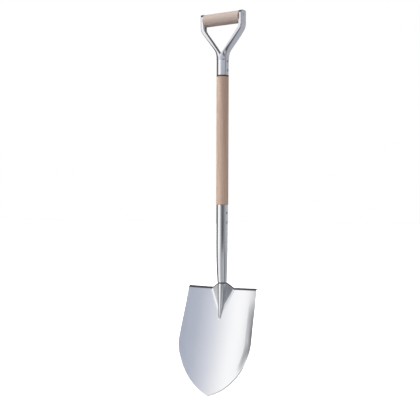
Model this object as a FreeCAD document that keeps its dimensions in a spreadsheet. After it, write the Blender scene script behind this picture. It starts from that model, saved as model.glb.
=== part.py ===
import FreeCAD, Part
import math
import os
import Sketcher

# Round-point garden spade with a wooden shaft and a Y-shaped hand grip.
# Frame: +Z up along the shaft, -Y is the hollow front of the blade, X runs along the treads.
# Origin: on the shaft axis, level with the outer corners of the treads.

SHEET_NAME = "dims"

SIZES = {
    # blade sheet
    "blade_sheet": 1.6,
    "blade_drop": 267.0,
    "blade_lean": 13.4,
    "blade_root_back": 8.2,
    "blade_root_drop": -0.2,
    "dish_radius": 620.0,
    "dish_sweep": 23.0,
    "sweep_radius": 3400.0,
    "sweep_length": 290.0,
    "tread_bend": 7.2,
    "tread_depth": 13.5,
    # blade outline, seen from the front
    "outline_top": 10.0,
    "shoulder_half": 99.2,
    "hip_half": 105.6,
    "hip_drop": 129.0,
    "turn_half": 103.8,
    "turn_drop": 151.8,
    "hip_radius": 88.0,
    "point_radius": 150.0,
    "stock_half": 140.0,
    "stock_drop": 300.0,
    # frog: hollow ridge with two sloping flanks, pressed forward out of the blade below the neck
    "frog_top": 12.0,
    "frog_bottom": 84.0,
    "frog_half": 34.6,
    "frog_opening_half": 33.0,
    "frog_clear": 60.0,
    "frog_collar_half": 12.0,
    "frog_shoulder_drop": 3.0,
    "frog_middle": 36.0,
    "ridge_head_half": 10.5,
    "ridge_head_back": 0.6,
    "ridge_head_radius": 10.52,
    "flank_head_back": 8.4,
    "ridge_middle_half": 8.6,
    "ridge_middle_back": -4.7,
    "ridge_middle_radius": 8.78,
    "flank_middle_back": 3.9,
    "ridge_foot_half": 0.6,
    "ridge_foot_back": -11.9,
    "ridge_foot_radius": 0.75,
    "flank_foot_back": -1.6,
    "ridge_foot_wall": 2.3,
    "ridge_foot_bore": 0.3,
    # neck tube
    "neck_sheet": 1.6,
    "neck_top": 211.4,
    "neck_radius": 14.9,
    "neck_straight": 130.0,
    "neck_waist": 60.0,
    "neck_waist_radius": 14.2,
    "neck_waist_shift": 0.0,
    "neck_end_radius": 12.0,
    "neck_end_shift": -1.3,
    "spigot_head_radius": 7.2,
    "spigot_head_shift": -1.8,
    "spigot_bottom": -20.0,
    "spigot_radius": 4.7,
    "spigot_shift": 1.4,
    # wooden shaft
    "shaft_radius": 15.65,
    "shaft_top": 541.9,
    "tenon_gap": 0.05,
    "tenon_up": 44.0,
    "tenon_down": 75.0,
    "tenon_tip_radius": 12.0,
    "tenon_taper": 6.0,
    "yoke_socket_bore": 13.9,
    # rivets
    "rivet_radius": 2.2,
    "rivet_head_radius": 3.7,
    "rivet_head_height": 1.7,
    "rivet_gap": 0.05,
    "neck_rivet_low": 164.3,
    "neck_rivet_pitch": 25.0,
    "yoke_rivet_low": 553.3,
    "yoke_rivet_pitch": 23.2,
    # yoke: socket and two arms pressed from one sheet
    "yoke_sheet": 1.6,
    "socket_radius": 15.5,
    "socket_corner": 15.45,
    "socket_top": 580.0,
    "fork_start": 590.0,
    "fork_slant": 37.7,
    "fork_low_radius": 32.0,
    "fork_high_radius": 28.0,
    "fork_step": 6.25,
    "fork_back_full": 640.0,
    "arm_half": 61.3,
    "arm_front": 11.3,
    "arm_back": 13.9,
    "arm_corner": 3.4,
    "arm_band": 9.0,
    "arm_back_band": 4.5,
    "arm_top": 703.0,
    "arm_top_radius": 8.0,
    "crotch_half": 1.7,
    "crotch_drop": 2.0,
    "crotch_radius": 2.3,
    "seam_width": 0.8,
    # grip
    "grip_radius": 16.0,
    "grip_height": 687.0,
    "grip_half": 52.6,
    "grip_edge": 1.2,
    "grip_spigot_radius": 8.6,
    "grip_spigot_half": 59.5,
    "grip_rod_radius": 3.0,
    "grip_head_radius": 6.0,
    "grip_head_height": 0.9,
}

FORK_STATIONS = 17
BOTH_WAYS = {"SideType": "Symmetric", "Type": "ThroughAll"}


class Size:
    """A number together with the sheet expression that gives it."""

    def __init__(self, value, text):
        self.value = float(value)
        self.text = text

    @staticmethod
    def of(item):
        return item if isinstance(item, Size) else Size(item, repr(float(item)))

    def __add__(self, other):
        other = Size.of(other)
        return Size(self.value + other.value, f"({self.text} + {other.text})")

    def __sub__(self, other):
        other = Size.of(other)
        return Size(self.value - other.value, f"({self.text} - {other.text})")

    def __mul__(self, other):
        other = Size.of(other)
        return Size(self.value * other.value, f"({self.text} * {other.text})")

    def __truediv__(self, other):
        other = Size.of(other)
        return Size(self.value / other.value, f"({self.text} / {other.text})")

    def __neg__(self):
        return self * -1

    def __radd__(self, other):
        return Size.of(other) + self

    def __rsub__(self, other):
        return Size.of(other) - self

    def __rmul__(self, other):
        return self * other


def root(size):
    return Size(math.sqrt(size.value), f"sqrt({size.text})")


def sine(angle):
    return Size(math.sin(math.radians(angle.value)), f"sin({angle.text} * 1 deg)")


def cosine(angle):
    return Size(math.cos(math.radians(angle.value)), f"cos({angle.text} * 1 deg)")


def make_sheet(doc):
    """Write every driving dimension into the spreadsheet under its own word."""
    sheet = doc.addObject("Spreadsheet::Sheet", SHEET_NAME)
    for row, (word, number) in enumerate(SIZES.items(), start=1):
        sheet.set(f"A{row}", word)
        sheet.set(f"B{row}", str(number))
        sheet.setAlias(f"B{row}", word)
    doc.recompute()
    return {word: Size(sheet.get(word), f"{SHEET_NAME}.{word}") for word in SIZES}


def new_body(doc, name):
    body = doc.addObject("PartDesign::Body", name)
    body.Label = name
    body.AllowCompound = True
    return body


def origin_part(body, role):
    return next(item for item in body.Origin.OriginFeatures if item.Role == role)


def new_sketch(body, role, name, base=(0, 0, 0), turn=None):
    """Attach a sketch to one of the body's own origin planes, moved and turned in that plane."""
    sketch = body.newObject("Sketcher::SketchObject", name)
    sketch.AttachmentSupport = (origin_part(body, role), [""])
    sketch.MapMode = "FlatFace"
    offset = [Size.of(item) for item in base]
    angle = Size.of(turn or 0)
    sketch.AttachmentOffset = FreeCAD.Placement(
        FreeCAD.Vector(*[item.value for item in offset]),
        FreeCAD.Rotation(FreeCAD.Vector(0, 0, 1), angle.value),
    )
    for axis, item in zip("xyz", offset):
        sketch.setExpression(f".AttachmentOffset.Base.{axis}", item.text)
    if turn:
        sketch.setExpression(".AttachmentOffset.Rotation.Angle", turn.text)
    return sketch


def fix(sketch, kind, first, value):
    """Hold one point of the sketch at a distance from the sketch's origin."""
    name = f"{kind.lower()}_{first[0]}_{first[1]}"
    index = sketch.addConstraint(Sketcher.Constraint(kind, -1, 1, first[0], first[1], value.value))
    sketch.renameConstraint(index, name)
    sketch.setExpression(f"Constraints.{name}", value.text)


def fix_point(sketch, point, x, y):
    if x.value == 0:
        sketch.addConstraint(Sketcher.Constraint("PointOnObject", point[0], point[1], -2))
    else:
        fix(sketch, "DistanceX", point, x)
    if y.value == 0:
        sketch.addConstraint(Sketcher.Constraint("PointOnObject", point[0], point[1], -1))
    else:
        fix(sketch, "DistanceY", point, y)


def fix_radius(sketch, edge, radius):
    name = f"radius_{edge}"
    index = sketch.addConstraint(Sketcher.Constraint("Radius", edge, radius.value))
    sketch.renameConstraint(index, name)
    sketch.setExpression(f"Constraints.{name}", radius.text)


def arc_between(first, last, radius, side):
    """Arc of the given radius whose centre lies left (+1) or right (-1) of the way along it."""
    chord = last - first
    middle = (first + last) * 0.5
    left = FreeCAD.Vector(-chord.y, chord.x, 0).normalize()
    reach = math.sqrt(radius * radius - chord.Length ** 2 / 4)
    centre = middle + left * reach * side
    begin, end = (first, last) if side > 0 else (last, first)
    angles = [math.atan2(p.y - centre.y, p.x - centre.x) for p in (begin, end)]
    return Part.ArcOfCircle(Part.Circle(centre, FreeCAD.Vector(0, 0, 1), radius), *angles)


def outline(sketch, points, arcs=None):
    """Draw a closed loop; arcs maps an edge's place to its radius and the side of its centre."""
    arcs = arcs or {}
    corners = [(Size.of(x), Size.of(y)) for x, y in points]
    places = [FreeCAD.Vector(x.value, y.value, 0) for x, y in corners]
    ends = []
    for place, start in enumerate(places):
        stop = places[(place + 1) % len(places)]
        if place in arcs:
            radius, side = arcs[place]
            radius = Size.of(radius)
            edge = sketch.addGeometry(arc_between(start, stop, radius.value, side), False)
            ends.append((edge, 1, 2) if side > 0 else (edge, 2, 1))
            fix_radius(sketch, edge, radius)
        else:
            edge = sketch.addGeometry(Part.LineSegment(start, stop), False)
            ends.append((edge, 1, 2))
    for place, (edge, begin, _) in enumerate(ends):
        before, _, end = ends[place - 1]
        sketch.addConstraint(Sketcher.Constraint("Coincident", before, end, edge, begin))
        fix_point(sketch, (edge, begin), *corners[place])


def circle(sketch, x, y, radius):
    x, y, radius = Size.of(x), Size.of(y), Size.of(radius)
    centre = FreeCAD.Vector(x.value, y.value, 0)
    ring = Part.Circle(centre, FreeCAD.Vector(0, 0, 1), radius.value)
    edge = sketch.addGeometry(ring, False)
    fix_point(sketch, (edge, 3), x, y)
    fix_radius(sketch, edge, radius)


def rectangle(sketch, left, right, low, high):
    outline(sketch, [(left, low), (right, low), (right, high), (left, high)])


def volume(body):
    return body.Tip.Shape.Volume if body.Tip else 0.0


def feature(body, kind, name, profile, **settings):
    """Add a PartDesign feature and make sure that it really added or removed material."""
    before = volume(body)
    item = body.newObject(f"PartDesign::{kind}", name)
    item.Profile = profile
    for word, value in settings.items():
        if isinstance(value, Size):
            setattr(item, word, value.value)
            item.setExpression(word, value.text)
        else:
            setattr(item, word, value)
    body.Document.recompute()
    if abs(item.Shape.Volume - before) < 1e-3:
        raise RuntimeError(f"{body.Label}: {name} changed nothing")
    return item


def cut_through(body, name, sketch):
    feature(body, "Pocket", name, sketch, **BOTH_WAYS)


def loft(body, kind, name, sketches, ruled=False):
    feature(body, kind, name, sketches[0], Sections=sketches[1:], Ruled=ruled)


def turned(body, name, sketch, axis="H_Axis"):
    feature(body, "Revolution", name, sketch, ReferenceAxis=(sketch, [axis]), Angle=360)


def disc(body, name, height, shift, radius):
    """Circle on a level plane; shift moves its centre towards the hollow front."""
    sketch = new_sketch(body, "XY_Plane", name, (0, 0, height))
    circle(sketch, 0, -shift, radius)
    return sketch


def rivet_holes(body, name, low, pitch, radius):
    """Two holes across the shaft, one above the other."""
    sketch = new_sketch(body, "YZ_Plane", name)
    circle(sketch, 0, low, radius)
    circle(sketch, 0, low + pitch, radius)
    cut_through(body, f"{name}_cut", sketch)


# ---------------------------------------------------------------- blade


def blade_plane(body, name, size):
    """Sketch on the middle plane, turned so that its Y axis runs up the leaning blade."""
    base = (size["blade_root_back"], -size["blade_root_drop"], 0)
    return new_sketch(body, "YZ_Plane", name, base, -size["blade_lean"])


def sweep_point(radius, middle, drop):
    """Distance forward of the top tangent for a point of the lengthwise curve."""
    return root(radius * radius - drop * drop) - middle


def frog_section(body, name, size, height, ridge, radius, flank, half):
    """Level section of the frog: round ridge in front, a straight flank each side, open behind."""
    sketch = new_sketch(body, "XY_Plane", name, (0, 0, height))
    ridge_half, ridge_back = ridge
    back = size["frog_clear"]
    outline(
        sketch,
        [
            (-half, back),
            (-half, flank),
            (-ridge_half, ridge_back),
            (ridge_half, ridge_back),
            (half, flank),
            (half, back),
        ],
        {2: (radius, 1)},
    )
    return sketch


def make_blade(doc, size):
    body = new_body(doc, "blade")
    sheet = size["blade_sheet"]
    bend = size["tread_bend"]
    sweep = size["sweep_radius"]
    low = size["sweep_length"]

    # frog, later hollowed from behind
    head, middle, foot = size["frog_top"], -size["frog_middle"], -size["frog_bottom"]
    places = (("head", head), ("middle", middle), ("foot", foot))
    half = size["frog_half"]
    sections = []
    for word, height in places:
        ridge = (size[f"ridge_{word}_half"], size[f"ridge_{word}_back"])
        sections.append(frog_section(body, f"frog_{word}", size, height, ridge,
                                     size[f"ridge_{word}_radius"], size[f"flank_{word}_back"], half))
    loft(body, "AdditiveLoft", "frog", sections, ruled=True)

    # the frog's top edges climb from the treads to the neck
    collar = new_sketch(body, "XZ_Plane", "frog_collar")
    outer = size["frog_clear"]
    shoulder_foot = -size["frog_shoulder_drop"]
    half = size["frog_opening_half"]
    neck = size["frog_collar_half"]
    outline(
        collar,
        [
            (-outer, shoulder_foot),
            (-half, shoulder_foot),
            (-neck, head),
            (neck, head),
            (half, shoulder_foot),
            (outer, shoulder_foot),
            (outer, outer),
            (-outer, outer),
        ],
    )
    cut_through(body, "frog_collar_cut", collar)

    # nothing of the frog stays behind the blade
    behind = blade_plane(body, "frog_back", size)
    half_sheet = sheet / 2
    back = sweep + half_sheet
    start = half_sheet
    stop = sweep_point(back, sweep, low)
    outline(
        behind,
        [
            (start, size["frog_clear"]),
            (start, 0),
            (stop, -low),
            (size["frog_clear"] * 2, -low),
            (size["frog_clear"] * 2, size["frog_clear"]),
        ],
        {1: (back, -1)},
    )
    cut_through(body, "frog_back_cut", behind)

    # dished sheet with its top edge bent back into the treads
    profile = blade_plane(body, "sheet_profile", size)
    outside = sweep + sheet
    depth = size["tread_depth"]
    outline(
        profile,
        [
            (bend, 0),
            (0, -bend),
            (sweep_point(sweep, sweep, low), -low),
            (sweep_point(outside, sweep, low), -low),
            (sheet, -bend),
            (bend, -sheet),
            (depth, -sheet),
            (depth, 0),
        ],
        {0: (bend, 1), 1: (sweep, -1), 3: (outside, 1), 4: (bend - sheet, -1)},
    )
    axis = profile.addGeometry(
        Part.LineSegment(
            FreeCAD.Vector(-size["dish_radius"].value, 0, 0),
            FreeCAD.Vector(-size["dish_radius"].value, -low.value, 0),
        ),
        True,
    )
    fix_point(profile, (axis, 1), -size["dish_radius"], Size.of(0))
    fix_point(profile, (axis, 2), -size["dish_radius"], -low)
    feature(body, "Revolution", "sheet", profile, ReferenceAxis=(profile, ["Axis0"]),
            Midplane=True, Angle=size["dish_sweep"])

    # outline of the blade
    trim = new_sketch(body, "XZ_Plane", "blade_outline")
    rectangle(trim, -size["stock_half"], size["stock_half"], -size["stock_drop"], size["stock_half"])
    top = size["outline_top"]
    shoulder, hip, turn = size["shoulder_half"], size["hip_half"], size["turn_half"]
    hip_drop, turn_drop = size["hip_drop"], size["turn_drop"]
    round_hip = (size["hip_radius"], -1)
    round_point = (size["point_radius"], -1)
    outline(
        trim,
        [
            (-neck, outer),
            (neck, outer),
            (shoulder, top),
            (hip, -hip_drop),
            (turn, -turn_drop),
            (0, -size["blade_drop"]),
            (-turn, -turn_drop),
            (-hip, -hip_drop),
            (-shoulder, top),
        ],
        {3: round_hip, 4: round_point, 5: round_point, 6: round_hip},
    )
    cut_through(body, "outline_cut", trim)

    # hollow back of the frog
    bore = size["ridge_foot_bore"]
    hollow = []
    for word, height in places[:2]:
        ridge = (size[f"ridge_{word}_half"] - sheet, size[f"ridge_{word}_back"])
        hollow.append(frog_section(body, f"hollow_{word}", size, height, ridge,
                                   size[f"ridge_{word}_radius"] - sheet,
                                   size[f"flank_{word}_back"] + sheet, half))
    ridge = (bore, size["ridge_foot_back"] + size["ridge_foot_wall"])
    hollow.append(frog_section(body, "hollow_foot", size, foot, ridge, bore + bore / 2,
                               size["flank_foot_back"] + sheet, half))
    loft(body, "SubtractiveLoft", "frog_hollow", hollow, ruled=True)
    return body


# ---------------------------------------------------------------- neck, shaft and rivets


def neck_stations(size):
    """Height, forward shift and radius of the neck from its rim down to the frog."""
    return [
        (size["neck_straight"], Size.of(0), size["neck_radius"]),
        (size["neck_waist"], size["neck_waist_shift"], size["neck_waist_radius"]),
        (size["frog_top"], size["neck_end_shift"], size["neck_end_radius"]),
    ]


def make_neck(doc, size):
    body = new_body(doc, "neck_tube")
    sheet = size["neck_sheet"]
    rim = disc(body, "neck_rim", size["neck_top"], Size.of(0), size["neck_radius"])
    length = size["neck_top"] - size["neck_straight"]
    feature(body, "Pad", "neck_straight", rim, Length=length, Reversed=True)
    outer = [disc(body, f"neck_outer_{n}", *s) for n, s in enumerate(neck_stations(size))]
    loft(body, "AdditiveLoft", "neck_taper", outer, ruled=True)
    spigot = [
        disc(body, "spigot_head", size["frog_top"], size["spigot_head_shift"],
             size["spigot_head_radius"]),
        disc(body, "spigot_foot", size["spigot_bottom"], size["spigot_shift"],
             size["spigot_radius"]),
    ]
    loft(body, "AdditiveLoft", "spigot", spigot, ruled=True)
    bore = disc(body, "neck_bore", size["neck_top"], Size.of(0), size["neck_radius"] - sheet)
    feature(body, "Pocket", "neck_bore_cut", bore, Length=length)
    inner = [
        disc(body, f"neck_inner_{n}", height, shift, radius - sheet)
        for n, (height, shift, radius) in enumerate(neck_stations(size)[:2])
    ]
    loft(body, "SubtractiveLoft", "neck_taper_bore", inner, ruled=True)
    rivet_holes(body, "neck_holes", size["neck_rivet_low"], size["neck_rivet_pitch"],
                size["rivet_radius"] + size["rivet_gap"])
    return body


def make_shaft(doc, size):
    """Turned wooden shaft; both ends are reduced to fit inside the pressed sockets."""
    body = new_body(doc, "shaft")
    gap = size["tenon_gap"]
    upper = size["yoke_socket_bore"] - gap
    lower = size["neck_radius"] - size["neck_sheet"] - gap
    low, high = size["neck_top"], size["shaft_top"]
    profile = new_sketch(body, "XZ_Plane", "shaft_profile")
    outline(
        profile,
        [
            (0, low - size["tenon_down"]),
            (size["tenon_tip_radius"], low - size["tenon_down"]),
            (lower, low - size["tenon_down"] + size["tenon_taper"]),
            (lower, low),
            (size["shaft_radius"], low),
            (size["shaft_radius"], high),
            (upper, high),
            (upper, high + size["tenon_up"]),
            (0, high + size["tenon_up"]),
        ],
    )
    turned(body, "shaft_turned", profile, "V_Axis")
    hole = size["rivet_radius"] + size["rivet_gap"]
    rivet_holes(body, "low_holes", size["neck_rivet_low"], size["neck_rivet_pitch"], hole)
    rivet_holes(body, "high_holes", size["yoke_rivet_low"], size["yoke_rivet_pitch"], hole)
    return body


def headed_pin(body, name, height, half, shank, head, dome):
    """Pin along X with a low domed head outside each end of its grip length."""
    profile = new_sketch(body, "XZ_Plane", name, (0, height, 0))
    cap = (head * head + dome * dome) / (dome * 2)
    outline(
        profile,
        [
            (-half - dome, 0),
            (half + dome, 0),
            (half, head),
            (half, shank),
            (-half, shank),
            (-half, head),
        ],
        {1: (cap, 1), 5: (cap, 1)},
    )
    turned(body, f"{name}_turned", profile)


def make_rivets(doc, size, name, low, pitch, half):
    body = new_body(doc, name)
    headed_pin(body, "pin", low, half, size["rivet_radius"], size["rivet_head_radius"],
               size["rivet_head_height"])
    pair = body.newObject("PartDesign::LinearPattern", "pair")
    pair.Originals = [body.Tip]
    pair.Direction = (origin_part(body, "Z_Axis"), [""])
    pair.Occurrences = 2
    pair.Length = pitch.value
    pair.setExpression("Length", pitch.text)
    body.Tip = pair
    doc.recompute()
    return body


# ---------------------------------------------------------------- yoke and grip


def fork_bends(size):
    """Heights and half widths where the outer line of an arm changes between bend and slant."""
    slant = size["fork_slant"]
    low, high = size["fork_low_radius"], size["fork_high_radius"]
    slope = sine(slant) / cosine(slant)
    low_end = size["fork_start"] + low * sine(slant)
    low_half = size["socket_radius"] + low * (1 - cosine(slant))
    high_half = size["arm_half"] - high * (1 - cosine(slant))
    high_start = low_end + (high_half - low_half) / slope
    high_end = high_start + high * sine(slant)
    return low_end, low_half, high_start, high_end, slope


def fork_half(size, height):
    """Half width of the yoke at a height: upright, bend, slant, bend, upright."""
    low_end, low_half, high_start, high_end, slope = fork_bends(size)
    start, low, high = size["fork_start"], size["fork_low_radius"], size["fork_high_radius"]
    if height.value <= start.value:
        return size["socket_radius"]
    if height.value <= low_end.value:
        rise = height - start
        return size["socket_radius"] + low - root(low * low - rise * rise)
    if height.value <= high_start.value:
        return low_half + (height - low_end) * slope
    if height.value <= high_end.value:
        rise = high_end - height
        return size["arm_half"] - high + root(high * high - rise * rise)
    return size["arm_half"]


def fork_share(size, height, start):
    """1 at the round socket, 0 on the flat arms, easing out above the start."""
    high_end = fork_bends(size)[3]
    if height.value <= start.value:
        return Size.of(1)
    if height.value >= high_end.value:
        return Size.of(0)
    share = (high_end - height) / (high_end - start)
    return share * share


def fork_section(body, name, size, height, inset):
    """Rounded section of the yoke at one height; the arms are deeper towards the back."""
    sketch = new_sketch(body, "XY_Plane", name, (0, 0, height))
    front_share = fork_share(size, height, size["socket_top"])
    back_share = fork_share(size, height, size["fork_back_full"])
    socket = size["socket_radius"]
    flat_front, flat_back = size["arm_front"], size["arm_back"]
    x = fork_half(size, height) - inset
    front = flat_front + (socket - flat_front) * front_share - inset
    back = flat_back + (socket - flat_back) * back_share - inset
    r = size["arm_corner"] + (size["socket_corner"] - size["arm_corner"]) * front_share - inset
    points = [
        (-x + r, -front), (x - r, -front), (x, -front + r), (x, back - r),
        (x - r, back), (-x + r, back), (-x, back - r), (-x, -front + r),
    ]
    outline(sketch, points, {edge: (r, 1) for edge in (1, 3, 5, 7)})
    return sketch


def round_tops(body, name, size, inset):
    """Round the arm ends as seen from the side."""
    sketch = new_sketch(body, "YZ_Plane", name)
    radius = size["arm_top_radius"] - inset
    top = size["arm_top"] - inset
    high = top + radius
    for sign, face in ((1, size["arm_back"]), (-1, size["arm_front"])):
        side = face - inset
        out = side + radius
        outline(
            sketch,
            [
                (side * sign, top - radius),
                ((side - radius) * sign, top),
                ((side - radius) * sign, high),
                (out * sign, high),
                (out * sign, top - radius),
            ],
            {0: (radius, sign)},
        )
    cut_through(body, f"{name}_cut", sketch)


def envelope(body, size, inset):
    """Closed outer form of the yoke, moved inward by the inset."""
    name = body.Name
    first = size["socket_top"]
    rim = fork_section(body, f"{name}_rim", size, first, inset)
    feature(body, "Pad", f"{name}_socket", rim, Length=first - size["shaft_top"], Reversed=True)
    sections = []
    for place in range(FORK_STATIONS):
        height = first + size["fork_step"] * place
        sections.append(fork_section(body, f"{name}_{place}", size, height, inset))
    loft(body, "AdditiveLoft", f"{name}_fork", sections)
    last = fork_section(body, f"{name}_last", size, height, inset)
    feature(body, "Pad", f"{name}_arms", last, Length=size["arm_top"] - inset - height)
    round_tops(body, f"{name}_tops", size, inset)


def window(body, name, size, band, front):
    """Cut the opening through one side, a band inside the arms' outer line; gives its lowest height."""
    sketch = new_sketch(body, "XZ_Plane", name)
    low_end, low_half, _, high_end, slope = fork_bends(size)
    slant, foot = size["fork_slant"], size["crotch_half"]
    bend = size["fork_high_radius"] - band
    inner = size["arm_half"] - band
    rise = (band / cosine(slant) + foot - low_half) / slope
    crotch = low_end + rise - size["crotch_drop"]
    turn = inner - bend * (1 - cosine(slant))
    turn_height = high_end - bend * sine(slant)
    top = size["arm_top"] + band
    outline(
        sketch,
        [
            (-foot, crotch), (foot, crotch), (turn, turn_height), (inner, high_end),
            (inner, top), (-inner, top), (-inner, high_end), (-turn, turn_height),
        ],
        {0: (size["crotch_radius"], 1), 2: (bend, 1), 6: (bend, 1)},
    )
    feature(body, "Pocket", f"{name}_cut", sketch, Length=size["arm_back"] * 2, Reversed=front)
    return crotch


def make_yoke(doc, size):
    core = new_body(doc, "yoke_core")
    envelope(core, size, size["yoke_sheet"])
    body = new_body(doc, "yoke")
    envelope(body, size, Size.of(0))
    hollow = body.newObject("PartDesign::Boolean", "hollow")
    hollow.Type = "Cut"
    hollow.setObjects([core])
    body.Tip = hollow
    doc.recompute()

    # opening between the arms: wide bands in front, narrow lips behind
    window(body, "front_window", size, size["arm_band"], True)
    crotch = window(body, "back_window", size, size["arm_back_band"], False)

    # closing seam at the back of the socket
    seam = new_sketch(body, "XZ_Plane", "seam")
    width = size["seam_width"] / 2
    rectangle(seam, -width, width, size["shaft_top"], crotch)
    feature(body, "Pocket", "seam_cut", seam, Length=size["socket_radius"] * 2)

    rivet_holes(body, "yoke_holes", size["yoke_rivet_low"], size["yoke_rivet_pitch"],
                size["rivet_radius"] + size["rivet_gap"])
    rod = new_sketch(body, "YZ_Plane", "rod_hole")
    circle(rod, 0, size["grip_height"], size["grip_rod_radius"] + size["rivet_gap"])
    cut_through(body, "rod_hole_cut", rod)
    return body


def make_grip(doc, size):
    """Wooden cross-bar with a spigot inside each hollow arm and a bore for its rod."""
    body = new_body(doc, "grip")
    profile = new_sketch(body, "XZ_Plane", "grip_profile", (0, size["grip_height"], 0))
    half, edge = size["grip_half"], size["grip_edge"]
    radius, end = size["grip_radius"], size["grip_spigot_half"]
    spigot = size["grip_spigot_radius"]
    bore = size["grip_rod_radius"] + size["rivet_gap"]
    outline(
        profile,
        [
            (-end, bore), (end, bore), (end, spigot), (half, spigot),
            (half, radius - edge), (half - edge, radius), (-half + edge, radius),
            (-half, radius - edge), (-half, spigot), (-end, spigot),
        ],
        {4: (edge, 1), 6: (edge, 1)},
    )
    turned(body, "grip_turned", profile)
    return body


def make_grip_rivet(doc, size):
    body = new_body(doc, "grip_rivet")
    headed_pin(body, "rod", size["grip_height"], size["arm_half"],
               size["grip_rod_radius"], size["grip_head_radius"], size["grip_head_height"])
    return body


def check(doc, bodies):
    """Stop before writing anything if an object failed or a shape is unusable."""
    for item in doc.Objects:
        if "Invalid" in item.State or "Error" in item.State:
            raise RuntimeError(f"{item.Name} failed: {item.State}")
    for body in bodies:
        if body.Shape.isNull() or not body.Shape.isValid() or not body.Shape.Solids:
            raise RuntimeError(f"{body.Label} has no valid shape")


def main():
    doc = FreeCAD.newDocument("spade")
    size = make_sheet(doc)
    bodies = [
        make_blade(doc, size),
        make_neck(doc, size),
        make_shaft(doc, size),
        make_rivets(doc, size, "neck_rivets", size["neck_rivet_low"], size["neck_rivet_pitch"],
                    size["neck_radius"]),
        make_yoke(doc, size),
        make_rivets(doc, size, "yoke_rivets", size["yoke_rivet_low"], size["yoke_rivet_pitch"],
                    size["socket_radius"]),
        make_grip(doc, size),
        make_grip_rivet(doc, size),
    ]
    doc.recompute()
    check(doc, bodies)
    os.makedirs("parts", exist_ok=True)
    for body in bodies:
        body.Shape.exportStep(f"parts/{body.Label}.step")
        box = body.Shape.BoundBox
        print(body.Label, len(body.Shape.Solids), [round(n, 1) for n in (
            box.XMin, box.XMax, box.YMin, box.YMax, box.ZMin, box.ZMax)])


main()
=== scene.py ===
import math

import bpy
import bmesh
from mathutils import Matrix, Vector


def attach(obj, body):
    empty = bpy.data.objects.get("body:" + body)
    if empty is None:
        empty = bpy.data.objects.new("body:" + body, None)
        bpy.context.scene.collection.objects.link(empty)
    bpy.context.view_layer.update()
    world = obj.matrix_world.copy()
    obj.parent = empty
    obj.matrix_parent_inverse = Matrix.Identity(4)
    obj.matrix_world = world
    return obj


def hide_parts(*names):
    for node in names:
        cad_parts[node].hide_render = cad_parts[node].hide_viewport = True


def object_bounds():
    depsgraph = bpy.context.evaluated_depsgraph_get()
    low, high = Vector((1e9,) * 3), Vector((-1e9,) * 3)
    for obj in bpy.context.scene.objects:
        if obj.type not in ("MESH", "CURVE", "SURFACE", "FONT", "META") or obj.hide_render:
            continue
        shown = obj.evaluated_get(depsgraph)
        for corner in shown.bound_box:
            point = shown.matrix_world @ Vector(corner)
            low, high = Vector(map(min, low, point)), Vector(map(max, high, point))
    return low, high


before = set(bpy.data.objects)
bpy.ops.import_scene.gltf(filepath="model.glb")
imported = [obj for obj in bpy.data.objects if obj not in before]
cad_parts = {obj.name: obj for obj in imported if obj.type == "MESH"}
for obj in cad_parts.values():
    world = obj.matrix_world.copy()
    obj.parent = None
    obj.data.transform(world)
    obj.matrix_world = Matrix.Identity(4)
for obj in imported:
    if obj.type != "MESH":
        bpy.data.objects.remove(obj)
cad_low, cad_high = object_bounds()


# ------------------------------------------------------------------ camera, in metres

VIEW_AZIMUTH = math.radians(30.76)
CAMERA_DISTANCE = 2.12226
CAMERA_HEIGHT = 0.18895
CAMERA_YAW = math.radians(0.84)
CAMERA_PITCH = math.radians(0.22)
CAMERA_ROLL = math.radians(0.22)
CAMERA_CLIP = 50.0
LENS_MM = 71.0
SENSOR_MM = 36.0


def make_camera():
    """Camera 31 degrees to the right of straight ahead, 0.19 m above the treads."""
    sine, cosine = math.sin(VIEW_AZIMUTH), math.cos(VIEW_AZIMUTH)
    place = Vector((CAMERA_DISTANCE * sine, -CAMERA_DISTANCE * cosine, CAMERA_HEIGHT))
    up = Vector((0, 0, 1))
    forward = Matrix.Rotation(CAMERA_YAW, 3, "Z") @ Vector((-sine, cosine, 0))
    right = forward.cross(up)
    aim = math.cos(CAMERA_PITCH) * forward + math.sin(CAMERA_PITCH) * up
    above = right.cross(aim)
    side = math.cos(CAMERA_ROLL) * right + math.sin(CAMERA_ROLL) * above
    top = -math.sin(CAMERA_ROLL) * right + math.cos(CAMERA_ROLL) * above
    data = bpy.data.cameras.new("camera")
    data.sensor_width = SENSOR_MM
    data.lens = LENS_MM
    data.clip_end = CAMERA_CLIP
    camera = bpy.data.objects.new("camera", data)
    camera.matrix_world = Matrix((
        (side.x, top.x, -aim.x, place.x),
        (side.y, top.y, -aim.y, place.y),
        (side.z, top.z, -aim.z, place.z),
        (0, 0, 0, 1),
    ))
    bpy.context.scene.collection.objects.link(camera)
    bpy.context.scene.camera = camera


# ------------------------------------------------------------------ node helpers


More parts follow.
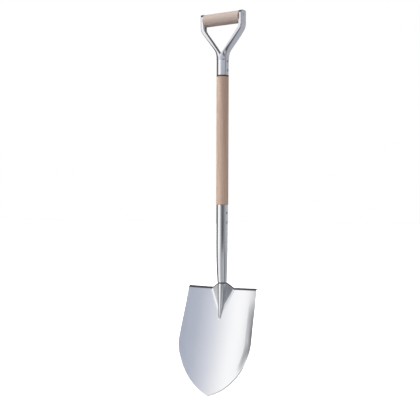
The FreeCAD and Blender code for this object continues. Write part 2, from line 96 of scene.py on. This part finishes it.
class Nodes:
    """Short way to build a node tree."""

    def __init__(self, tree):
        self.tree = tree
        tree.nodes.clear()

    def add(self, kind, inputs=None, **settings):
        node = self.tree.nodes.new(kind)
        for word, value in settings.items():
            setattr(node, word, value)
        for key, value in (inputs or {}).items():
            self.put(node.inputs[key], value)
        return node

    def put(self, socket, value):
        """Fill a socket from another socket, from a node's first output or with a plain value."""
        if isinstance(value, bpy.types.NodeSocket):
            self.tree.links.new(value, socket)
        elif isinstance(value, bpy.types.Node):
            self.tree.links.new(value.outputs[0], socket)
        else:
            socket.default_value = value

    def math(self, operation, *values):
        node = self.add("ShaderNodeMath", operation=operation)
        for place, value in enumerate(values):
            self.put(node.inputs[place], value)
        return node.outputs[0]

    def span(self, value, low, high, first=0.0, last=1.0):
        """Smooth step from first to last while a value goes from low to high."""
        node = self.add("ShaderNodeMapRange", interpolation_type="SMOOTHSTEP")
        for place, item in enumerate((value, low, high, first, last)):
            self.put(node.inputs[place], item)
        return node.outputs[0]

    def ramp(self, value, stops):
        """Colour by a value from 0 to 1, through (place, colour) stops of which the first is at 0."""
        node = self.add("ShaderNodeValToRGB", {0: value})
        points = node.color_ramp.elements
        points.remove(points[-1])
        points[0].color = (*stops[0][1], 1)
        for place, colour in stops[1:]:
            points.new(place).color = (*colour, 1)
        return node.outputs[0]

    def mix(self, share, first, last):
        """Blend of two colours; the mix node's colour sockets are inputs 6 and 7 and output 2."""
        node = self.add("ShaderNodeMix", data_type="RGBA")
        self.put(node.inputs[0], share)
        self.put(node.inputs[6], first)
        self.put(node.inputs[7], last)
        return node.outputs[2]


# ------------------------------------------------------------------ studio

# Light in the room, one ring for each range of elevation. A stop is an angle in degrees, to the right of
# the direction from the object to the camera, and the light's colour there.
LEVEL = [
    (-180, (.42, .42, .43)), (-150, (.18, .18, .19)), (-102, (.09, .09, .10)), (-88, (1.0, 1.0, 1.01)),
    (-78, (1.25, 1.25, 1.25)), (-50, (1.15, 1.16, 1.18)), (-36, (.68, .70, .74)), (-20, (.38, .39, .42)),
    (-6, (.12, .12, .13)), (22, (.10, .10, .11)), (38, (.28, .29, .31)), (62, (.42, .43, .45)),
    (95, (.52, .53, .56)), (150, (.54, .55, .57)), (180, (.42, .42, .43)),
]
LIFTED = [
    (-180, (.42, .42, .43)), (-150, (.20, .20, .21)), (-104, (.12, .12, .13)), (-97, (.42, .43, .46)),
    (-88, (.78, .79, .82)), (-78, (1.15, 1.15, 1.16)), (-50, (1.02, 1.04, 1.07)), (-38, (.46, .48, .52)),
    (-33, (.30, .31, .34)), (-27, (.09, .09, .11)), (0, (.18, .19, .22)), (34, (.28, .29, .33)),
    (50, (.24, .26, .30)), (78, (.48, .49, .52)), (104, (.44, .46, .50)), (150, (.54, .55, .57)),
    (180, (.42, .42, .43)),
]
RISING = [
    (-180, (.42, .42, .43)), (-150, (.20, .20, .21)), (-102, (.11, .11, .12)), (-88, (1.0, 1.0, 1.01)),
    (-78, (1.25, 1.25, 1.25)), (-50, (1.12, 1.14, 1.17)), (-38, (.80, .82, .88)), (-24, (.62, .64, .70)),
    (0, (.54, .57, .64)), (34, (.55, .58, .65)), (50, (.24, .26, .30)), (58, (.30, .32, .35)),
    (78, (.50, .51, .54)), (104, (.40, .42, .46)), (144, (.56, .57, .60)), (180, (.42, .42, .43)),
]
RAISED = [
    (-180, (.36, .36, .37)), (-150, (.22, .22, .24)), (-110, (.13, .13, .15)), (-99, (.19, .19, .21)),
    (-92, (.33, .33, .36)), (-85, (.50, .50, .53)), (-79, (.74, .74, .76)), (-76.5, (1.22, 1.22, 1.22)),
    (-70, (1.22, 1.22, 1.22)), (-65, (1.00, 1.01, 1.04)), (-61, (.83, .85, .92)), (-57, (.68, .71, .81)),
    (-52, (.53, .57, .675)), (-20, (.50, .54, .645)), (0, (.42, .45, .52)), (60, (.34, .36, .40)),
    (104, (.42, .44, .48)), (150, (.44, .45, .47)), (180, (.36, .36, .37)),
]
FALLING = [
    (-180, (.42, .42, .43)), (-150, (.22, .22, .23)), (-102, (.12, .12, .13)), (-88, (.95, .95, .96)),
    (-78, (1.15, 1.15, 1.15)), (-50, (1.02, 1.03, 1.05)), (-36, (.62, .64, .68)), (-22, (.42, .43, .47)),
    (0, (.46, .47, .51)), (26, (.50, .52, .56)), (36, (.66, .67, .71)), (46, (.32, .33, .36)),
    (54, (.14, .15, .18)),
    (74, (.40, .41, .45)), (104, (.46, .47, .51)), (150, (.50, .51, .53)), (180, (.42, .42, .43)),
]
GROUND = [
    (-180, (.42, .42, .43)), (-90, (.42, .42, .43)), (-60, (.55, .55, .56)), (-20, (.22, .22, .24)),
    (0, (.12, .12, .14)), (50, (.12, .12, .14)), (95, (.36, .38, .43)), (136, (.50, .52, .58)),
    (180, (.42, .42, .43)),
]
OVERHEAD = [(-180, (.10, .10, .115))]

# The rings after LEVEL, each with the sines of the elevations at which it begins and is complete.
RINGS = [
    (LIFTED, .02, .05), (RISING, .12, .15), (RAISED, .205, .255), (OVERHEAD, .43, .50),
    (FALLING, -.055, -.075), (GROUND, -.30, -.50),
]

# What lights matt surfaces, at every elevation: one broad window on the left.
SOFT = [
    (-180, (.64, .64, .64)), (-150, (.64, .64, .64)), (-105, (3.35, 3.31, 3.26)), (-75, (3.35, 3.31, 3.26)),
    (-30, (.64, .64, .64)), (180, (.64, .64, .64)),
]

WHITE = (1, 1, 1, 1)
FLOOR_REACH = 30.0
FLOOR_GAP = 0.002
FLOOR_TONE = (.93, .93, .93, 1)
FLOOR_TONE_UNSEEN = (.28, .28, .28, 1)
FLOOR_GLOW = .75
FLOOR_GLOW_UNSEEN = .12


def make_world():
    """Soft studio round the object; the camera itself sees plain white."""
    world = bpy.data.worlds.new("studio")
    bpy.context.scene.world = world
    world.use_nodes = True
    n = Nodes(world.node_tree)
    way = n.add("ShaderNodeTexCoord").outputs["Generated"]
    sine, cosine = math.sin(VIEW_AZIMUTH), math.cos(VIEW_AZIMUTH)
    right = n.add("ShaderNodeVectorMath", {0: way, 1: (cosine, sine, 0)}, operation="DOT_PRODUCT")
    toward = n.add("ShaderNodeVectorMath", {0: way, 1: (sine, -cosine, 0)}, operation="DOT_PRODUCT")
    turn = n.math("ARCTAN2", right.outputs["Value"], toward.outputs["Value"])
    turn = n.math("MULTIPLY_ADD", turn, 0.5 / math.pi, 0.5)
    height = n.add("ShaderNodeSeparateXYZ", {0: way}).outputs["Z"]

    def around(stops):
        return n.ramp(turn, [(angle / 360 + 0.5, colour) for angle, colour in stops])

    sky = around(LEVEL)
    for stops, begins, complete in RINGS:
        sky = n.mix(n.span(height, begins, complete), sky, around(stops))
    ray = n.add("ShaderNodeLightPath")
    colour = n.mix(ray.outputs["Is Diffuse Ray"], sky, around(SOFT))
    colour = n.mix(ray.outputs["Is Camera Ray"], colour, WHITE)
    back = n.add("ShaderNodeBackground", {"Color": colour, "Strength": 1.0})
    n.add("ShaderNodeOutputWorld", {"Surface": back})


def make_floor():
    """Large floor just under the point of the blade: pale for the camera, darker for other rays."""
    mesh = bpy.data.meshes.new("floor")
    build = bmesh.new()
    bmesh.ops.create_grid(build, x_segments=8, y_segments=8, size=FLOOR_REACH)
    build.to_mesh(mesh)
    build.free()
    floor = bpy.data.objects.new("floor", mesh)
    floor.location = (0, 0, cad_low.z - FLOOR_GAP)
    bpy.context.scene.collection.objects.link(floor)
    floor.visible_glossy = False
    material, n = new_material("floor_paint")
    seen = n.add("ShaderNodeLightPath").outputs["Is Camera Ray"]
    tone = n.mix(seen, FLOOR_TONE_UNSEEN, FLOOR_TONE)
    paint = n.add("ShaderNodeBsdfPrincipled", {"Base Color": tone, "Roughness": .9})
    strength = n.span(seen, 0.0, 1.0, FLOOR_GLOW_UNSEEN, FLOOR_GLOW)
    glow = n.add("ShaderNodeEmission", {"Strength": strength})
    both = n.add("ShaderNodeAddShader", {0: paint, 1: glow})
    n.add("ShaderNodeOutputMaterial", {"Surface": both})
    mesh.materials.append(material)


# ------------------------------------------------------------------ materials

STEEL_DARK = (.775, .78, .79)
STEEL_LIGHT = (.80, .80, .805)
STREAK_SCALE = (420, 420, 14)
GRAIN_SQUEEZE = .045
GRAIN_BROWN = (.46, .31, .22, 1)
PATCH_BROWN = (.58, .38, .27, 1)
# dark brown for the painted shade just under the socket's rim on the shaft
PAINTED_SHADE_BROWN = (.10, .045, .04, 1)
# in metres
YOKE_RIM = .5419
# how far below the rim that painted shade starts and is full
PAINTED_SHADE_BELOW_RIM = (.0052, .0028)
RELIEF = .0002


def new_material(name):
    """Empty node material, with the builder of its tree."""
    material = bpy.data.materials.new(name)
    material.use_nodes = True
    return material, Nodes(material.node_tree)


def finish_surface(n, colour, roughness, marks, strength, metallic=0.0):
    """Join a colour and a roughness to the output, with shallow marks in relief."""
    bump = n.add("ShaderNodeBump", {"Height": marks, "Strength": strength, "Distance": RELIEF})
    body = n.add("ShaderNodeBsdfPrincipled", {
        "Base Color": colour, "Metallic": metallic, "Roughness": roughness, "Normal": bump,
    })
    n.add("ShaderNodeOutputMaterial", {"Surface": body})


def steel(name, rough, painted_shade_factor=1.0):
    """Buffed stainless steel with faint polishing marks; a factor below one darkens its colour as painted
    shade, used for the rougher raw, sheared edges.
    """
    material, n = new_material(name)
    place = n.add("ShaderNodeTexCoord").outputs["Object"]
    cloud = n.add("ShaderNodeTexNoise", {"Vector": place, "Scale": 9.0, "Detail": 4.0}).outputs[0]
    stretched = n.add("ShaderNodeMapping", {"Vector": place, "Scale": STREAK_SCALE})
    streak = n.add("ShaderNodeTexNoise", {"Vector": stretched, "Scale": 2.0, "Detail": 3.0}).outputs[0]
    # the factor darkens both tones: painted shade
    dark, light = ((*(part * painted_shade_factor for part in tint), 1) for tint in (STEEL_DARK, STEEL_LIGHT))
    colour = n.mix(n.span(cloud, .3, .7), dark, light)
    roughness = n.math("ADD", n.span(streak, .35, .65, rough * .8, rough * 1.2),
                       n.span(cloud, .35, .65, -.01, .01))
    finish_surface(n, colour, roughness, streak, .02, metallic=1.0)
    return material


def wood(name, pale, deep, along="Z", figure=.5, painted_shade_under=None):
    """Ash wood with its grain along one axis, and if asked a band of painted shade that starts just below a
    height.
    """
    material, n = new_material(name)
    place = n.add("ShaderNodeTexCoord").outputs["Object"]
    scale = (1, 1, GRAIN_SQUEEZE) if along == "Z" else (GRAIN_SQUEEZE, 1, 1)
    drawn = n.add("ShaderNodeMapping", {"Vector": place, "Scale": scale})
    fine = {"Vector": drawn, "Scale": 260.0, "Detail": 5.0, "Roughness": .6}
    grain = n.add("ShaderNodeTexNoise", fine).outputs[0]
    bands = n.add("ShaderNodeTexNoise", {"Vector": drawn, "Scale": 70.0, "Detail": 2.0}).outputs[0]
    patch = n.add("ShaderNodeTexNoise", {"Vector": place, "Scale": 16.0, "Detail": 3.0}).outputs[0]
    colour = n.mix(n.span(bands, .35, .65), (*deep, 1), (*pale, 1))
    colour = n.mix(n.span(grain, .45, .7, 0, figure), colour, GRAIN_BROWN)
    colour = n.mix(n.span(patch, .5, .75, 0, .35), colour, PATCH_BROWN)
    if painted_shade_under:
        height = n.add("ShaderNodeSeparateXYZ", {0: place}).outputs["Z"]
        start, full = (painted_shade_under - below for below in PAINTED_SHADE_BELOW_RIM)
        # painted shade on the wood just below the socket's rim
        colour = n.mix(n.span(height, start, full), colour, PAINTED_SHADE_BROWN)
    finish_surface(n, colour, .5, grain, .05)
    return material


# ------------------------------------------------------------------ blade, in millimetres

MM = 0.001
SHEET = 1.6
LEAN = math.radians(13.4)
ROOT_BACK = 8.2
ROOT_HEIGHT = 0.2
DISH_RADIUS = 620.0
SWEEP_RADIUS = 3400.0

# outline: (half width, height); TIP_ALONG is roughly the point's place along the lean
SHOULDER = (99.2, 10.0)
HIP = (105.6, -129.0)
TURN = (103.8, -151.8)
TIP_HEIGHT = -267.0
TIP_ALONG = -273.0
HIP_RADIUS = 88.0
POINT_RADIUS = 150.0

TREAD_BEND = 7.2
TREAD_DEPTH = 13.5

# the frog: curves are (height, value, slope)
FROG_TOP = 12.0
FROG_FOOT = -84.0
FROG_HALF = 34.6
FROG_REACH = 40.0
FOOT_FADE = 6.0
FOOT_FALL = .12
RIDGE_HALF = [(FROG_FOOT, 1.3, .24), (-60, 5.6, .15), (-36, 8.5, .09), (FROG_TOP, 10.5, .02)]
RIDGE_FRONT = [(FROG_FOOT, -12.6, .01), (-36, -11.8, .017), (FROG_TOP, -10.8, .02)]
RIDGE_ROUND = .97
FLANK = [(FROG_FOOT, -1.6, .12), (-36, 3.9, .105), (FROG_TOP, 8.4, .09)]
FLANK_SLOPE = [(FROG_FOOT, .25, 0), (-36, .27, .0005), (FROG_TOP, .295, .0005)]
FLANK_BLEND = 2.2
FROG_BLEND = 1.4

# the collar: (half width, height) at its outer and inner end
COLLAR_OUT = (33.0, -3.0)
COLLAR_IN = (12.0, 12.0)
COLLAR_ROLL = 3.6
# band below the collar's edge whose fronts get painted shade, in the darkened edge steel
COLLAR_PAINTED_DARK = 2.4
ROLL_TURN = .94
ROLL_START = 10.0
ROLL_FADE = 4.0
ROLL_LEAST = .25

# the curled sides and the ground edge: shares are (height, share, slope)
CURL_WIDTH = 20.0
CURL_ANGLE = math.radians(11.0)
CURL_SHARE = [(-210, 0, 0), (-180, .35, .018), (-150, .85, .007), (-112, 1, 0), (-22, 0, 0)]
GROUND_WIDTH = 1.7
GROUND_DEPTH = 1.25
GROUND_SHARE = [(-205, 1, 0), (-165, 0, 0)]

# the mesh: columns are placed by their share of the half width
SPLIT_HEIGHT = -6.0
FROG_COLUMNS = 76
WING_END = .80
WING_COLUMNS = 22
SIDE_END = .97
SIDE_COLUMNS = 13
RIM_SHARES = [.978, .985, .99, .995, 1.0]
COLLAR_ROWS = 24
BLADE_ROWS = 130
TIP_STEPS = (.12, .4, .9, 1.6, 2.6, 4.0, 5.8, 8.0)
TIP_REACH = 10.0
SLOPE_STEP = .4
MOST_SLANTED = 2.4
WIDTH_ROUNDS = 14
HEIGHT_ROUNDS = 4
SOFT_EDGE = .2
SOFT_EDGE_ANGLE = math.radians(55)


def arc_x(z, first, last, radius):
    """Half width at height z on an outward-bulging arc between two outline points."""
    middle_x, middle_z = (first[0] + last[0]) / 2, (first[1] + last[1]) / 2
    dx, dz = last[0] - first[0], last[1] - first[1]
    length = math.hypot(dx, dz)
    reach = math.sqrt(radius * radius - length * length / 4)
    centre_x = middle_x + dz / length * reach
    centre_z = middle_z - dx / length * reach
    return centre_x + math.sqrt(max(radius * radius - (z - centre_z) ** 2, 0))


def half_width(z):
    """Half width of the blade's outline at a height."""
    if z <= TIP_HEIGHT:
        return 0.0
    if z < TURN[1]:
        return max(arc_x(z, TURN, (0.0, TIP_HEIGHT), POINT_RADIUS), 0.0)
    if z < HIP[1]:
        return arc_x(z, HIP, TURN, HIP_RADIUS)
    share = (z - HIP[1]) / (SHOULDER[1] - HIP[1])
    return HIP[0] + (SHOULDER[0] - HIP[0]) * share


def hermite(x, points):
    """Smooth curve through (place, value, slope) points that rise in place."""
    if x <= points[0][0]:
        return points[0][1]
    for (x0, y0, m0), (x1, y1, m1) in zip(points, points[1:]):
        if x <= x1:
            step = x1 - x0
            t = (x - x0) / step
            return ((1 + 2 * t) * (1 - t) ** 2 * y0 + t * (1 - t) ** 2 * step * m0
                    + t * t * (3 - 2 * t) * y1 + t * t * (t - 1) * step * m1)
    return points[-1][1]


def soft_min(a, b, k):
    """Smaller of two numbers, with the change between them rounded over k."""
    near = max(k - abs(a - b), 0) / k
    return min(a, b) - near * near * k / 4


def dish_point(u, v, x):
    """The y and z of a point of the dished blade, u back from it and v up along its lean."""
    inward = -DISH_RADIUS + math.sqrt((u + DISH_RADIUS) ** 2 - x * x)
    y = ROOT_BACK + inward * math.cos(LEAN) + v * math.sin(LEAN)
    z = ROOT_HEIGHT - inward * math.sin(LEAN) + v * math.cos(LEAN)
    return y, z


def sweep(v):
    """The u of the blade's long curve at v along its lean; it is below zero, which is forward."""
    return math.sqrt(SWEEP_RADIUS ** 2 - v * v) - SWEEP_RADIUS


def frog_front(x, z):
    """The y of the frog's front: a rounded ridge with a straight flank each side."""
    half = hermite(z, RIDGE_HALF)
    front = hermite(z, RIDGE_FRONT)
    x = abs(x)
    edge = half * RIDGE_ROUND
    rise = half - math.sqrt(half * half - min(x, edge) ** 2)
    if x > edge:
        rise += (x - edge) * edge / math.sqrt(half * half - edge * edge)
    flank = hermite(z, FLANK) - (FROG_HALF - x) * hermite(z, FLANK_SLOPE)
    foot = max(FROG_FOOT + FOOT_FADE - z, 0)
    return soft_min(front + rise, flank, FLANK_BLEND) + foot * foot * FOOT_FALL


def curl(x, z, half):
    """Forward curl of the blade's sides beside the hips."""
    inside = abs(x) - (half - CURL_WIDTH)
    if inside <= 0:
        return 0.0
    q = min(inside / CURL_WIDTH, 1.0)
    return -math.tan(CURL_ANGLE) * CURL_WIDTH * (q * q - q ** 3 / 3) * hermite(z, CURL_SHARE)


def cutting_edge(x, z, half):
    """Ground chamfer along the lower edge of the front face."""
    slope = half_width(z + .5) - half_width(z - .5)
    gap = (half - abs(x)) / math.sqrt(1 + slope * slope)
    return GROUND_DEPTH * hermite(z, GROUND_SHARE) * min(max(1 - gap / GROUND_WIDTH, 0), 1)


def blade_front(x, y, z):
    """The plain blade's y, with the curl, the cutting edge and the frog added."""
    half = half_width(z)
    y += curl(x, z, half) + cutting_edge(x, z, half)
    if abs(x) < FROG_REACH and z > FROG_FOOT - FOOT_FADE:
        y = soft_min(y, frog_front(x, z), FROG_BLEND)
    return y


def surface_y(x, z, v):
    """Front face of the sheet at any x and z; v is a first guess of the place along the blade."""
    for _ in range(HEIGHT_ROUNDS):
        u = sweep(v)
        _, height = dish_point(u, v, x)
        v += (z - height) / math.cos(LEAN)
    y, _ = dish_point(sweep(v), v, x)
    return blade_front(x, y, z)


def layer_depth(x, z, v):
    """The y of the back face, deeper where the front slants, so that the sheet keeps its thickness."""
    here = surface_y(x, z, v)
    step = SLOPE_STEP
    slope_x = (surface_y(x + step, z, v) - surface_y(x - step, z, v)) / (2 * step)
    slope_z = (surface_y(x, z + step, v) - surface_y(x, z - step, v)) / (2 * step)
    return here + SHEET * min(math.sqrt(1 + slope_x ** 2 + slope_z ** 2), MOST_SLANTED)


def roll(x, gap):
    """How far the collar's edge turns back, less beside the tube."""
    lean_in = max(1 - max(gap, 0) / COLLAR_ROLL, 0) * ROLL_TURN
    beside = min(max((abs(x) - ROLL_START) / ROLL_FADE, ROLL_LEAST), 1)
    return COLLAR_ROLL * (1 - math.sqrt(1 - lean_in * lean_in)) * beside


def spread(first, last, count):
    """Evenly spaced numbers, both ends included."""
    return [first + (last - first) * i / count for i in range(count + 1)]


def new_piece(name, build, material, cad_node):
    """Smooth-shaded piece on the root body, made from a mesh in millimetres."""
    mesh = bpy.data.meshes.new(name)
    bmesh.ops.recalc_face_normals(build, faces=build.faces)
    build.to_mesh(mesh)
    build.free()
    mesh.transform(Matrix.Scale(MM, 4))
    for face in mesh.polygons:
        face.use_smooth = True
    mesh.materials.append(material)
    piece = bpy.data.objects.new(name, mesh)
    bpy.context.scene.collection.objects.link(piece)
    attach(piece, "root")
    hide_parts(cad_node)
    return piece


def even_normals(piece):
    """Keep flat faces flat in the shading."""
    normals = piece.modifiers.new("even_normals", "WEIGHTED_NORMAL")
    normals.keep_sharp = True


def soften(piece):
    """Break the sharp edges."""
    bevel = piece.modifiers.new("soft_edges", "BEVEL")
    bevel.width = SOFT_EDGE * MM
    bevel.segments = 2
    bevel.limit_method = "ANGLE"
    bevel.angle_limit = SOFT_EDGE_ANGLE


def skin(build, a, b, painted_dark=()):
    """Front and back faces between two lines of (front, back) points, some fronts in the darkened edge
    steel as painted shade.
    """
    for i in range(len(a) - 1):
        front = build.faces.new((a[i][0], a[i + 1][0], b[i + 1][0], b[i][0]))
        build.faces.new((a[i][1], b[i][1], b[i + 1][1], a[i + 1][1]))
        front.material_index = int(i in painted_dark)


def rim(build, line, painted_dark=False):
    """Close the sheet's edge along a line of (front, back) points; if asked, in the darkened edge steel as
    painted shade.
    """
    for a, b in zip(line, line[1:]):
        build.faces.new((a[0], a[1], b[1], b[0])).material_index = int(painted_dark)


def close_flap(build, lines):
    """Close the free edge and both ends of a flap that is attached by its first line."""
    rim(build, lines[-1])
    rim(build, [line[0] for line in lines])
    rim(build, [line[-1] for line in lines])


def blade_rows(build, shares, v_tip):
    """Lines of (front, back) points across the blade, from near the point up to the treads."""
    v_rows = [v_tip + step for step in TIP_STEPS]
    v_rows += spread(v_tip + TIP_REACH, -TREAD_BEND, BLADE_ROWS)
    rows = []
    for v in v_rows:
        row = []
        for share in shares:
            x = 0.0
            for _ in range(WIDTH_ROUNDS):
                _, z = dish_point(sweep(v), v, x)
                x = share * half_width(z)
            front = surface_y(x, z, v)
            back = layer_depth(x, z, v)
            row.append((build.verts.new((x, front, z)), build.verts.new((x, back, z))))
        rows.append(row)
    return rows


def add_tread(build, edge):
    """Bend the top edge of one wing back into a tread."""
    bends = [(math.radians(angle), 0) for angle in range(10, 91, 10)]
    bends += [(math.pi / 2, .5), (math.pi / 2, 1)]
    lines = [edge]
    for angle, flat in bends:
        line = []
        for front, _ in edge:
            x = front.co.x
            pair = []
            for radius in (TREAD_BEND, TREAD_BEND - SHEET):
                u = TREAD_BEND - radius * math.cos(angle) + (TREAD_DEPTH - TREAD_BEND) * flat
                v = -TREAD_BEND + radius * math.sin(angle)
                y, z = dish_point(u, v, x)
                pair.append(build.verts.new((x, y, z)))
            line.append(tuple(pair))
        skin(build, lines[-1], line)
        lines.append(line)
    close_flap(build, lines)


def add_collar(build, base):
    """Carry the frog's top up from the treads to the neck, its cut edge turned back, and the fronts near
    that edge in the darkened steel as painted shade.
    """
    lines = [base]
    for step in range(1, COLLAR_ROWS + 1):
        line = []
        painted_dark = set()
        for i, (front, _) in enumerate(base):
            x, low = front.co.x, front.co.z
            side = (abs(x) - COLLAR_IN[0]) / (COLLAR_OUT[0] - COLLAR_IN[0])
            top = COLLAR_IN[1] + (COLLAR_OUT[1] - COLLAR_IN[1]) * min(max(side, 0), 1)
            z = low + (top - low) * step / COLLAR_ROWS
            turned = roll(x, top - z)
            # fronts this near the edge get painted shade
            if top - z < COLLAR_PAINTED_DARK:
                painted_dark.add(i)
            line.append((build.verts.new((x, surface_y(x, z, z) + turned, z)),
                         build.verts.new((x, layer_depth(x, z, z) + turned, z))))
        skin(build, lines[-1], line, painted_dark)
        lines.append(line)
    close_flap(build, lines)


def make_blade(material, edge):
    """Sheet with rounded frog, curled sides and bent treads, built as a front and a back layer."""
    build = bmesh.new()
    split = COLLAR_OUT[0] / half_width(SPLIT_HEIGHT)
    side = spread(WING_END, SIDE_END, SIDE_COLUMNS)[1:]
    outer = spread(split, WING_END, WING_COLUMNS) + side + RIM_SHARES
    inner = spread(-split, split, FROG_COLUMNS)
    shares = [-s for s in reversed(outer)][:-1] + inner + outer[1:]
    left = len(outer) - 1
    right = left + FROG_COLUMNS
    v_tip = (TIP_HEIGHT - ROOT_HEIGHT + sweep(TIP_ALONG) * math.sin(LEAN)) / math.cos(LEAN)
    rows = blade_rows(build, shares, v_tip)
    y, _ = dish_point(sweep(v_tip), v_tip, 0)
    y += GROUND_DEPTH
    tip = (build.verts.new((0, y, TIP_HEIGHT)), build.verts.new((0, y + SHEET, TIP_HEIGHT)))

    for a, b in zip(rows, rows[1:]):
        skin(build, a, b)
    for a, b in zip(rows[0], rows[0][1:]):
        build.faces.new((tip[0], a[0], b[0]))
        build.faces.new((tip[1], b[1], a[1]))
    # the cut edges down both sides, in the darkened edge steel: a rougher finish with painted shade
    rim(build, [tip] + [row[0] for row in rows], painted_dark=True)
    rim(build, [tip] + [row[-1] for row in rows], painted_dark=True)
    top = rows[-1]
    add_tread(build, top[:left + 1])
    add_tread(build, top[right:])
    add_collar(build, top[left:right + 1])

    piece = new_piece("blade_sheet", build, material, "blade")
    # second slot: the darkened edge steel, painted shade on the edges
    piece.data.materials.append(edge)
    soften(piece)
    even_normals(piece)


# ------------------------------------------------------------------ neck tube, in millimetres

NECK_TOP = 211.4
NECK_OUTER = 14.9
NECK_BORE = 13.3
NECK_ROWS = 60
DRAWN_FROM = FROG_TOP + .8
DRAWN_TO = 208.0
RING = 96

# curves are (height, value, slope): the radius, and how far back the tube's centre is
NECK_RADIUS = [(FROG_TOP, 12.0, .055), (60, 14.1, .028), (130, NECK_OUTER, 0), (NECK_TOP, NECK_OUTER, 0)]
NECK_BACK = [(FROG_TOP, 1.3, -.04), (60, 0, 0), (NECK_TOP, 0, 0)]

# (height, radius, distance back) of the spigot in the frog and the step out of it
SPIGOT = [
    (-20, 4.7, -1.4), (-19, 5.0, -1.3), (FROG_TOP - .6, 7.2, 1.8), (FROG_TOP, 7.6, 1.8),
    (FROG_TOP, 11.2, 1.3), (FROG_TOP + .25, 11.75, 1.28),
]
# (height, radius) over the rounded open rim and down the bore
MOUTH = [
    (NECK_TOP - 1.0, NECK_OUTER), (NECK_TOP - .5, 14.85), (NECK_TOP - .15, 14.6), (NECK_TOP, 14.2),
    (NECK_TOP, 13.8), (NECK_TOP - .2, 13.45), (NECK_TOP - .6, NECK_BORE), (150, NECK_BORE), (66, 12.8),
]


def ring(build, z, radius, back):
    """Circle of points round the tube, its centre moved back."""
    turns = [2 * math.pi * i / RING for i in range(RING)]
    return [build.verts.new((radius * math.cos(t), back + radius * math.sin(t), z)) for t in turns]


def make_neck(material):
    """Drawn tube: open rim on top, tapering to the frog, with a spigot inside it."""
    build = bmesh.new()
    drawn = spread(DRAWN_FROM, DRAWN_TO, NECK_ROWS)
    profile = SPIGOT + [(z, hermite(z, NECK_RADIUS), hermite(z, NECK_BACK)) for z in drawn]
    profile += [(z, radius, 0) for z, radius in MOUTH]
    rings = [ring(build, *station) for station in profile]
    for a, b in zip(rings, rings[1:]):
        for i in range(RING):
            j = (i + 1) % RING
            build.faces.new((a[i], a[j], b[j], b[i]))
    build.faces.new(reversed(rings[0]))
    build.faces.new(rings[-1])
    even_normals(new_piece("neck_socket", build, material, "neck_tube"))


# ------------------------------------------------------------------ the whole spade


def finish_node(name, material):
    """Give a node that keeps its CAD shape one material and a slot."""
    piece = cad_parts[name]
    piece.data.materials.clear()
    piece.data.materials.append(material)


tube_steel = steel("tube_steel", .12)
rivet_steel = steel("rivet_steel", .25)
# the shaft gets painted shade just below the yoke's rim
shaft_wood = wood("shaft_wood", (.66, .48, .38), (.56, .385, .30), painted_shade_under=YOKE_RIM)
grip_wood = wood("grip_wood", (.60, .49, .44), (.54, .43, .38), "X", figure=.16)
# edge steel: rougher, its colour darkened to .3 as painted shade for the sheet's edges
make_blade(steel("blade_steel", .13), steel("edge_steel_painted_dark", .4, painted_shade_factor=.3))
make_neck(tube_steel)
finish_node("yoke", tube_steel)
for rivets in ("neck_rivets", "yoke_rivets", "grip_rivet"):
    finish_node(rivets, rivet_steel)
finish_node("shaft", shaft_wood)
finish_node("grip", grip_wood)

make_world()
make_floor()
make_camera()
bpy.context.scene.view_settings.view_transform = "Standard"
